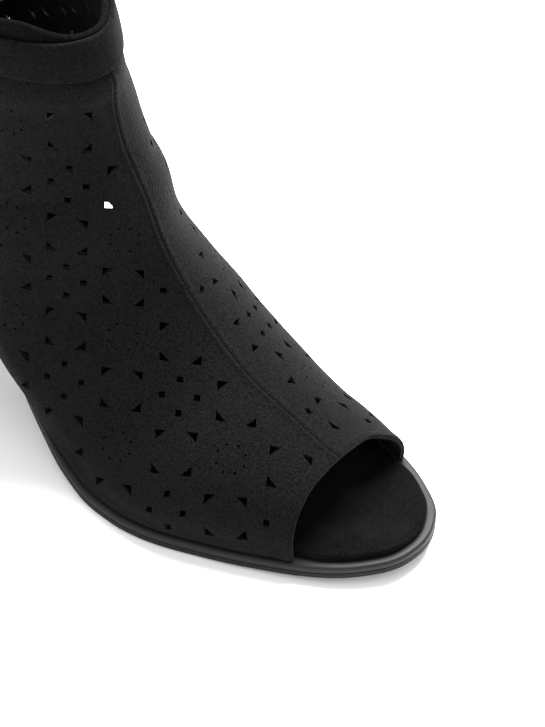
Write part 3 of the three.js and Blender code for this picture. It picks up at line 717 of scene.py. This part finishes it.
def table_row(turn, lift):
    open_row = (turn - first_turn) / (COLLAR_TURN - first_turn) * (TURN_ROWS - 1)
    return np.where(lift > 0, TURN_ROWS - 1 + lift / (lifts[1] - lifts[0]), open_row)


def girth_at(side, turn):
    return np.interp(turn, turns, lasts[side][2])


def edge_distance(side, turn, share):
    return (turn - toe_edge[side](share)) * INSTEP_RADIUS * ridge_share(turn) * QUARTER


def roll_on(side, across, drop, depth=0.0, relief=None):
    turn, lift, length = unroll(across, drop)
    share = np.clip(length / girth_at(side, turn), 0, 1)
    grid, outward, _ = lasts[side]
    row = table_row(turn, lift)
    point = read_table(grid, row, share)
    normal = read_table(outward, row, share)
    normal /= np.linalg.norm(normal, axis=1, keepdims=True)
    proud = depth if relief is None else depth + relief(side, turn, lift, length, share, depth)
    return point + normal * np.asarray(proud)[..., None], normal


test_across, test_drop = lay(np.array([0.5]), np.array([0.0]), np.array([30.0]))
print("a flat point", test_across, test_drop, "rolls on to", roll_on(-1, test_across, test_drop)[0])

# %% [markdown]
# ## The pattern of cut-outs
# The pattern is a square lattice of about 38.5 mm. A ring of eight pin holes stands on every crossing,
# four small triangles turn their backs to each other in the middle of every edge, and four squares sit
# in every cell. A few terms bend the lattice, because a real cut-out sheet is pulled over the last and
# doesn't lie exactly as it did flat. The same pattern mirrored serves the inner flank. Holes that come
# too near a seam, an edge or the rim are left out, as a pattern cutter does.

# %% Lattice to flat sheet
PITCH = 38.5
SQUARE_HALF = 0.029
TRIANGLE_LEG = 3.75 / PITCH
PIN_RING = 0.13
PIN_RADIUS = 0.0125
CLUSTER_ALONG = 0.15
CLUSTER_DOWN = 0.155
SEAM_MARGIN = 5.2
BAND_MARGIN = 2.0
BACK_MARGIN = 6.0
THROAT_TURN = 0.56
THROAT_MARGIN = 14.0
# least distances of pin holes and of larger holes from the foot and from the toe opening, mm
FOOT_MARGINS = (4.0, 5.0)
TOE_MARGINS = (6.0, 6.5)
# powers of the steps along and down, then how far they move a point across and down the sheet, mm
LATTICE = [
    (0, 0, 115.428, 60.675), (1, 0, -37.855, 0.661), (0, 1, -2.948, 36.875), (2, 0, 0.109, -0.386),
    (1, 1, 1.029, -2.378), (0, 2, -2.154, -1.039), (3, 0, -0.373, 0.764), (2, 1, 0.426, -0.496),
    (1, 2, -1.483, -0.768), (0, 3, 0.333, 0.943),
]
# past these steps the lattice runs on straight
BEND_START = -1.5
BEND_ENDS = (2.2, 2.4)
# the inner flank's pattern is pulled: shares of across and drop, then a shift in mm
INNER_ACROSS = (0.977, 0.031, 0.7)
INNER_DROP = (-0.082, 0.911, 14.8)
# squares of the inner flank that let daylight through to the outer one: across, drop, half a side, mm
DAYLIGHT_SQUARES = [(183.5, 93.5, 1.1), (176, 99, 1.1), (173.5, 112.5, 1.9)]
SQUARE_CORNERS = ((-1, -1), (1, -1), (1, 1), (-1, 1))


def bend(column, along, down):
    near_along = min(max(along, BEND_START), BEND_ENDS[0])
    near_down = min(max(down, BEND_START), BEND_ENDS[1])
    total = 0.0
    for term in LATTICE:
        i, j = term[:2]
        total += term[column] * near_along**i * near_down**j
        if i:
            total += term[column] * i * near_along ** (i - 1) * near_down**j * (along - near_along)
        if j:
            total += term[column] * j * near_along**i * near_down ** (j - 1) * (down - near_down)
    return total


def on_sheet(side, along, down):
    across, drop = bend(2, along, down), bend(3, along, down)
    if side > 0:
        return tuple(row[0] * across + row[1] * drop + row[2] for row in (INNER_ACROSS, INNER_DROP))
    return across, drop


def hole_shapes():
    eighths = [t * QUARTER / 2 for t in range(8)]
    pin = [(PIN_RADIUS * math.cos(angle), PIN_RADIUS * math.sin(angle)) for angle in eighths]
    square = [(SQUARE_HALF * a, SQUARE_HALF * b) for a, b in SQUARE_CORNERS]
    third = TRIANGLE_LEG / 3
    for i in range(-5, 4):
        for j in range(-4, 5):
            for k in range(8):
                angle = math.radians(22.5 + 45 * k)
                yield (i + PIN_RING * math.cos(angle), j + PIN_RING * math.sin(angle)), pin
            for middle in ((i + 0.5, j), (i, j + 0.5)):
                for a, b in ((-1, -1), (-1, 1), (1, 1), (1, -1)):
                    centre = (middle[0] + CLUSTER_ALONG * a, middle[1] + CLUSTER_DOWN * b)
                    left, low = a * third, b * third
                    yield centre, [(left, low), (-left * 2, low), (left, -low * 2)]
            for a, b in ((-CLUSTER_ALONG, 0), (CLUSTER_ALONG, 0), (0, -CLUSTER_DOWN), (0, CLUSTER_DOWN)):
                yield (i + 0.5 + a, j + 0.5 + b), square


def clear_of_edges(side, across, drop, large):
    turn, lift, length = (float(v[0]) for v in unroll(np.array([across]), np.array([drop])))
    if not first_turn < turn < COLLAR_TURN or lift > 0 or length < SEAM_MARGIN:
        return False
    if side > 0 and turn > THROAT_TURN and length < THROAT_MARGIN:
        return False
    girth = float(girth_at(side, turn))
    to_foot = girth - length
    to_toe = edge_distance(side, turn, length / girth)
    to_band = (COLLAR_TURN - turn) * INSTEP_RADIUS * float(ridge_share(turn)) * QUARTER
    if to_foot < FOOT_MARGINS[large] or to_toe < TOE_MARGINS[large] or to_band < BAND_MARGIN:
        return False
    return turn <= closing_turn or to_foot >= BACK_MARGIN


def holes_of(side):
    kept = []
    for (along, down), corners in hole_shapes():
        if clear_of_edges(side, *on_sheet(side, along, down), len(corners) < 8):
            kept.append([on_sheet(side, along + da, down + db) for da, db in corners])
    return kept


holes = {side: holes_of(side) for side in (-1, 1)}
for across, drop, half in DAYLIGHT_SQUARES:
    holes[1].append([(across + a * half, drop + b * half) for a, b in SQUARE_CORNERS])
print("holes: outer flank", len(holes[-1]), "inner flank", len(holes[1]))

# %% [markdown]
# ## Cutting the sheet
# Each flank starts as a grid, as tall as it has rows and graded so that rows crowd at the seam and at
# the edge of the toe opening, where the cloth turns. The grid is placed flat, extruded to the wall's
# thickness and punched by a Boolean with one joined mesh of prisms. The Manifold solver takes closed
# meshes only, is quick, and leaves the untouched part of the grid alone.

# %% Grading of the grid
SEAM_STEPS = np.array([0, 0.25, 0.5, 0.8, 1.1, 1.4, 1.7, 2.1, 2.7, 3.6])
EDGE_STEPS = np.array([0, 0.2, 0.45, 0.8, 1.3, 1.9, 2.5, 2.9, 3.3, 3.8, 4.8])
GIRTH_ROWS = 72
TRAVEL_ROWS = 128
COLLAR_ROWS = 14
PUNCH_OVER = 1.0
MEAN_RADIUS = INSTEP_RADIUS * QUARTER


def flat_grid(side):
    ease = np.linspace(0, 1, TRAVEL_ROWS + 1)[1:]
    columns = []
    shares_down = np.concatenate([np.zeros(len(SEAM_STEPS)), np.linspace(0, 1, GIRTH_ROWS + 1)[1:]])
    reach = np.concatenate([SEAM_STEPS, np.full(GIRTH_ROWS, SEAM_STEPS[-1])])
    for k in range(len(EDGE_STEPS) + TRAVEL_ROWS):
        start = toe_edge[side](shares_down)
        if k < len(EDGE_STEPS):
            turn = start + EDGE_STEPS[k] / MEAN_RADIUS
        else:
            from_here = start + EDGE_STEPS[-1] / MEAN_RADIUS
            turn = from_here + (COLLAR_TURN - from_here) * ease[k - len(EDGE_STEPS)]
        girth = girth_at(side, turn)
        length = reach + (girth - reach) * shares_down
        columns.append(np.stack(lay(turn, np.zeros_like(turn), length), -1))
    at_collar = np.full_like(reach, COLLAR_TURN)
    length = reach + (girth_at(side, COLLAR_TURN) - reach) * shares_down
    for lift in np.linspace(0, COLLAR_HEIGHT, COLLAR_ROWS + 1)[1:]:
        columns.append(np.stack(lay(at_collar, np.full_like(reach, lift), length), -1))
    return np.stack(columns)


def extrude_down(sheet, depth):
    lower = bmesh.ops.extrude_face_region(sheet, geom=sheet.faces[:], use_keep_orig=True)
    moved = [item for item in lower["geom"] if isinstance(item, bmesh.types.BMVert)]
    bmesh.ops.translate(sheet, verts=moved, vec=(0, 0, -depth))
    bmesh.ops.recalc_face_normals(sheet, faces=sheet.faces)


def flat_sheet(side):
    flat = flat_grid(side)
    level = np.concatenate([flat, np.zeros(flat.shape[:2] + (1,))], 2) / MM
    sheet = bent_grid(level)
    bmesh.ops.recalc_face_normals(sheet, faces=sheet.faces)
    if sum(face.normal.z for face in sheet.faces) < 0:
        bmesh.ops.reverse_faces(sheet, faces=sheet.faces)
    extrude_down(sheet, WALL)
    return sheet


def punches(side):
    tool = bmesh.new()
    for corners in holes[side]:
        ring = bmesh.ops.create_circle(tool, segments=len(corners), radius=1, cap_ends=True)["verts"]
        for vertex, (across, drop) in zip(ring, corners):
            vertex.co = (across, drop, PUNCH_OVER)
    extrude_down(tool, WALL + 2 * PUNCH_OVER)
    return tool


def punched(side):
    objects = []
    for name, source in (("sheet", flat_sheet(side)), ("punches", punches(side))):
        mesh = bpy.data.meshes.new(name)
        source.to_mesh(mesh)
        source.free()
        made = bpy.data.objects.new(name, mesh)
        bpy.context.scene.collection.objects.link(made)
        objects.append(made)
    sheet, tool = objects
    cut = sheet.modifiers.new("punch", "BOOLEAN")
    cut.operation = "DIFFERENCE"
    cut.solver = "MANIFOLD"
    cut.object = tool
    finished = sheet.evaluated_get(bpy.context.evaluated_depsgraph_get())
    done = bpy.data.meshes.new_from_object(finished)
    for made in objects:
        bpy.data.objects.remove(made)
    result = bmesh.new()
    result.from_mesh(done)
    bpy.data.meshes.remove(done)
    return result


# %% Relief: the seam's soft ridge, the turned toe edge, the bulge at the foot, the pinch of the band
SEAM_ROW = 1.35
EDGE_ROW = 3.0
# distance from the seam, width and height of its groove, its ridge and its stitched line, mm
SEAM_RELIEF = [(0, 0.35, -0.15), (1.1, 1, 0.4), (SEAM_ROW, 0.3, -0.12)]
HEM_SLOPE, HEM_PROUD, HEM_DIP, HEM_DIP_WIDTH = 1.2, 0.35, 0.3, 0.4
EDGE_ROUND, EDGE_DEPTH = 0.8, 0.7
FOOT_BULGE, FOOT_BULGE_AT, FOOT_BULGE_WIDTH = 0.35, 2.5, 3.0
FAR_FROM_FOOT = 50.0
PINCH_DEPTH, PINCH_REACH, PINCH_SWELL, PINCH_SWELL_AT, PINCH_SWELL_WIDTH = 0.9, 3.5, 0.7, 7.0, 4.0
BAND_COVER = -2.0


def dip(distance, width):
    return np.exp(-((distance / width) ** 2))


def relief(side, turn, lift, length, share, depth):
    outside = 1 + np.asarray(depth) / WALL
    edge = edge_distance(side, turn, share)
    seam = sum(height * dip(length - place, width) for place, width, height in SEAM_RELIEF)
    hem = HEM_PROUD * np.clip((EDGE_ROW + HEM_SLOPE - edge) / HEM_SLOPE, 0, 1)
    hem -= HEM_DIP * dip(edge - EDGE_ROW, HEM_DIP_WIDTH)
    rolled = np.clip(1 - edge / EDGE_ROUND, 0, 1)
    turned = -EDGE_DEPTH * (1 - np.sqrt(1 - rolled**2))
    to_foot = np.where(turn < closing_turn, girth_at(side, turn) - length, FAR_FROM_FOOT)
    bulge = FOOT_BULGE * dip(to_foot - FOOT_BULGE_AT, FOOT_BULGE_WIDTH)
    to_band = (COLLAR_TURN - turn) * MEAN_RADIUS - lift + BAND_LIFT
    pinch = -PINCH_DEPTH * np.clip(1 - np.abs(to_band) / PINCH_REACH, 0, 1) ** 2
    pinch += PINCH_SWELL * dip(to_band - PINCH_SWELL_AT, PINCH_SWELL_WIDTH)
    return outside * (seam + hem + turned + bulge) + pinch * (to_band > BAND_COVER)


# %% Roll the punched sheets on
def flank(name, side, *nodes):
    sheet = punched(side)
    flat = np.array([vertex.co for vertex in sheet.verts])
    points, _ = roll_on(side, flat[:, 0], flat[:, 1], flat[:, 2], relief)
    for vertex, point in zip(sheet.verts, points):
        vertex.co = point * MM
    if side > 0:
        bmesh.ops.reverse_faces(sheet, faces=sheet.faces)
    piece(name, sheet, upper_suede, "upper_suede", *nodes, sharp=50)


flank("upper_outer_flank", -1, "upper")
flank("upper_inner_flank", 1, "upper")

# %% [markdown]
# ## The band and the rolled collar edge
# A strip of the same suede is laid round the ankle and stitched along both edges, and the collar's
# edge is turned over and stitched below. Both are closed loops with a rounded cross-section, so each
# is a bent grid: the columns go round the section, the rows round the ankle.

# %% Loops round the ankle
LOOP_ROWS = 200
CORNER_STEPS = 4
LONGEST_STEP = 1.5
BAND_ROUND = 0.7
BAND_BULGE = 0.35
BINDING_ROUND = 1.15
BINDING_LAP = 1.3


def ankle_path():
    share = np.linspace(0, 1, LOOP_ROWS // 2 + 1)
    row = np.full_like(share, TURN_ROWS - 1)
    girth_rows = []
    for side in (-1, 1):
        point = read_table(lasts[side][0], row, share)
        normal = read_table(lasts[side][1], row, share)
        normal[:, 2] = 0
        normal[[0, -1], 1] = 0
        normal /= np.linalg.norm(normal, axis=1, keepdims=True)
        girth_rows.append((point, normal))
    (outer, outer_way), (inner, inner_way) = girth_rows
    points = np.concatenate([outer[::-1], inner[1:]])
    ways = np.concatenate([outer_way[::-1], inner_way[1:]])
    return points, ways


ankle, ankle_way = ankle_path()


def ankle_row(offset, height):
    row = ankle + ankle_way * offset
    row[:, 0] -= COLLAR_LEAN * height
    row[:, 2] = ankle[:, 2] + height
    return row


def ankle_loop(section, low_at):
    rows = [ankle_row(offset, low_at(ankle) + lift) for offset, lift in section]
    rows.append(rows[0])
    return close_and_turn_out(bent_grid(np.stack(rows, 1)))


def rounded_section(inside, outside, height, radius, bulge=0.0):
    middle = (inside + outside) / 2
    right, left, low, high = outside - radius, inside + radius, radius, height - radius
    steps = []
    corners = ((right, low, -90), (right, high, 0), (left, high, 90), (left, low, 180))
    for centre_x, centre_z, start in corners:
        for k in range(CORNER_STEPS + 1):
            angle = math.radians(start + 90 / CORNER_STEPS * k)
            steps.append((centre_x + radius * math.cos(angle), centre_z + radius * math.sin(angle)))
    out = []
    for i, (x, z) in enumerate(steps):
        out.append((x, z))
        following = steps[(i + 1) % len(steps)]
        gap = math.hypot(following[0] - x, following[1] - z)
        cuts = int(gap // LONGEST_STEP)
        for k in range(1, cuts + 1):
            t = k / (cuts + 1)
            out.append((x + (following[0] - x) * t, z + (following[1] - z) * t))
    if bulge:
        out = [(x + (bulge * math.sin(math.pi * z / height) if x > middle else 0), z) for x, z in out]
    return out


def band_low(at):
    return BAND_LIFT + back_lift(at[:, 0], BAND_BACK_RISE)


def binding_low(at):
    return COLLAR_HEIGHT + collar_lift(at[:, 0]) + CLEARANCE - BINDING_LAP


band_out = BAND_CLEARANCE + BAND_THICKNESS
band_section = rounded_section(BAND_CLEARANCE, band_out, BAND_HEIGHT, BAND_ROUND, BAND_BULGE)
band_loop = ankle_loop(band_section, band_low)
piece("ankle_band_strip", band_loop, band_suede, "band_suede", "ankle_band", sharp=70)
binding_section = rounded_section(
    -WALL - BINDING_OVERHANG, BINDING_OVERHANG, BINDING_HEIGHT + BINDING_LAP, BINDING_ROUND
)
binding_loop = ankle_loop(binding_section, binding_low)
piece("collar_roll", binding_loop, binding_suede, "binding_suede", "collar_binding", sharp=70)

# %% [markdown]
# ## Stitches
# A stitch is a short thread that dips into the cloth at both ends. Hundreds are needed, so each is a
# small icosphere drawn out along its row, and every row is one mesh.

# %% Rows of stitches
STITCH_SHARE = 0.72
STITCH_WIDTH = 0.42
STITCH_REACH = 0.3
SEAM_PITCH = 2.3
EDGE_PITCH = 2.4
END_GAP = 0.004
BAND_ROW = 1.9
COLLAR_ROW = 1.2


def place_on(line, travelled, place):
    return np.array([np.interp(place, travelled, line[:, axis]) for axis in range(3)])


def stitch_row(name, points, normals, pitch, height=0.3, slot="upper_suede"):
    steps = np.linalg.norm(np.diff(points, axis=0), axis=1)
    travelled = np.concatenate([[0], np.cumsum(steps)])
    count = int(travelled[-1] / pitch)
    places = (np.arange(count) + 0.5) * travelled[-1] / count
    row = bmesh.new()
    for place in places:
        ahead = place_on(points, travelled, place + STITCH_REACH)
        along = ahead - place_on(points, travelled, place - STITCH_REACH)
        along /= np.linalg.norm(along)
        out = place_on(normals, travelled, place)
        out -= along * (along @ out)
        out /= np.linalg.norm(out)
        beside = np.cross(out, along)
        axes = Matrix((along * pitch * STITCH_SHARE / 2, beside * STITCH_WIDTH / 2, out * height / 2))
        middle = Matrix.Translation(Vector(place_on(points, travelled, place)))
        matrix = Matrix.Scale(MM, 4) @ middle @ axes.transposed().to_4x4()
        bmesh.ops.create_icosphere(row, subdivisions=2, radius=1, matrix=matrix)
    piece(name, row, thread, slot, sharp=180)


def sheet_row(side, turn, length):
    across, drop = lay(turn, turn * 0, length)
    return roll_on(side, across, drop, np.zeros_like(across) + 0.02, relief)


for side, word in ((-1, "outer"), (1, "inner")):
    turn = np.linspace(float(toe_edge[side](0)) + END_GAP, COLLAR_TURN - END_GAP, 300)
    stitch_row(f"seam_stitches_{word}", *sheet_row(side, turn, turn * 0 + SEAM_ROW), SEAM_PITCH)
    share = np.linspace(0.02, 0.99, 200)
    turn = toe_edge[side](share) + EDGE_ROW / MEAN_RADIUS
    edge_line = sheet_row(side, turn, share * girth_at(side, turn))
    stitch_row(f"toe_edge_stitches_{word}", *edge_line, EDGE_PITCH, height=0.15)

for word, lift in (("low", BAND_ROW), ("high", BAND_HEIGHT - BAND_ROW)):
    row = ankle_row(band_out + 0.1, band_low(ankle) + lift)
    stitch_row(f"band_stitches_{word}", row, ankle_way, EDGE_PITCH, slot="band_suede")
row = ankle_row(0.05, COLLAR_HEIGHT + collar_lift(ankle[:, 0]) - COLLAR_ROW)
stitch_row("collar_stitches", row, ankle_way, EDGE_PITCH)

# %% [markdown]
# ## Floor and light
# A plain pale floor, one wide soft lamp high behind the inner side, and an even bright world. The
# floor is one large sheet, so its horizon stays out of the camera's view.

# %% Floor
stage_sheet = bmesh.new()
bmesh.ops.create_grid(stage_sheet, x_segments=2, y_segments=2, size=3)
floor_mesh = bpy.data.meshes.new("floor")
stage_sheet.to_mesh(floor_mesh)
stage_sheet.free()
floor = bpy.data.objects.new("floor", floor_mesh)
bpy.context.scene.collection.objects.link(floor)
floor_finish = Finish("floor_paper", Roughness=0.95, Specular_IOR_Level=0.1)
floor_finish.colour(grey(0.94))
floor_mesh.materials.append(floor_finish.material)

# %% Soft light
def soft_light(name, place, target, size, power):
    lamp = bpy.data.lights.new(name, "AREA")
    lamp.shape = "DISK"
    lamp.size = size
    lamp.energy = power
    made = bpy.data.objects.new(name, lamp)
    made.location = place
    made.rotation_euler = (Vector(target) - Vector(place)).to_track_quat("-Z", "Y").to_euler()
    bpy.context.scene.collection.objects.link(made)


soft_light("key", place=(-0.4, 0.85, 1.6), target=(0, 0, 0.05), size=1.35, power=165)
world = bpy.data.worlds.new("studio")
world.use_nodes = True
world.node_tree.nodes["Background"].inputs["Color"].default_value = grey(1.0)
world.node_tree.nodes["Background"].inputs["Strength"].default_value = 1.3
bpy.context.scene.world = world
bpy.context.scene.view_settings.view_transform = "Standard"
print("stage set")
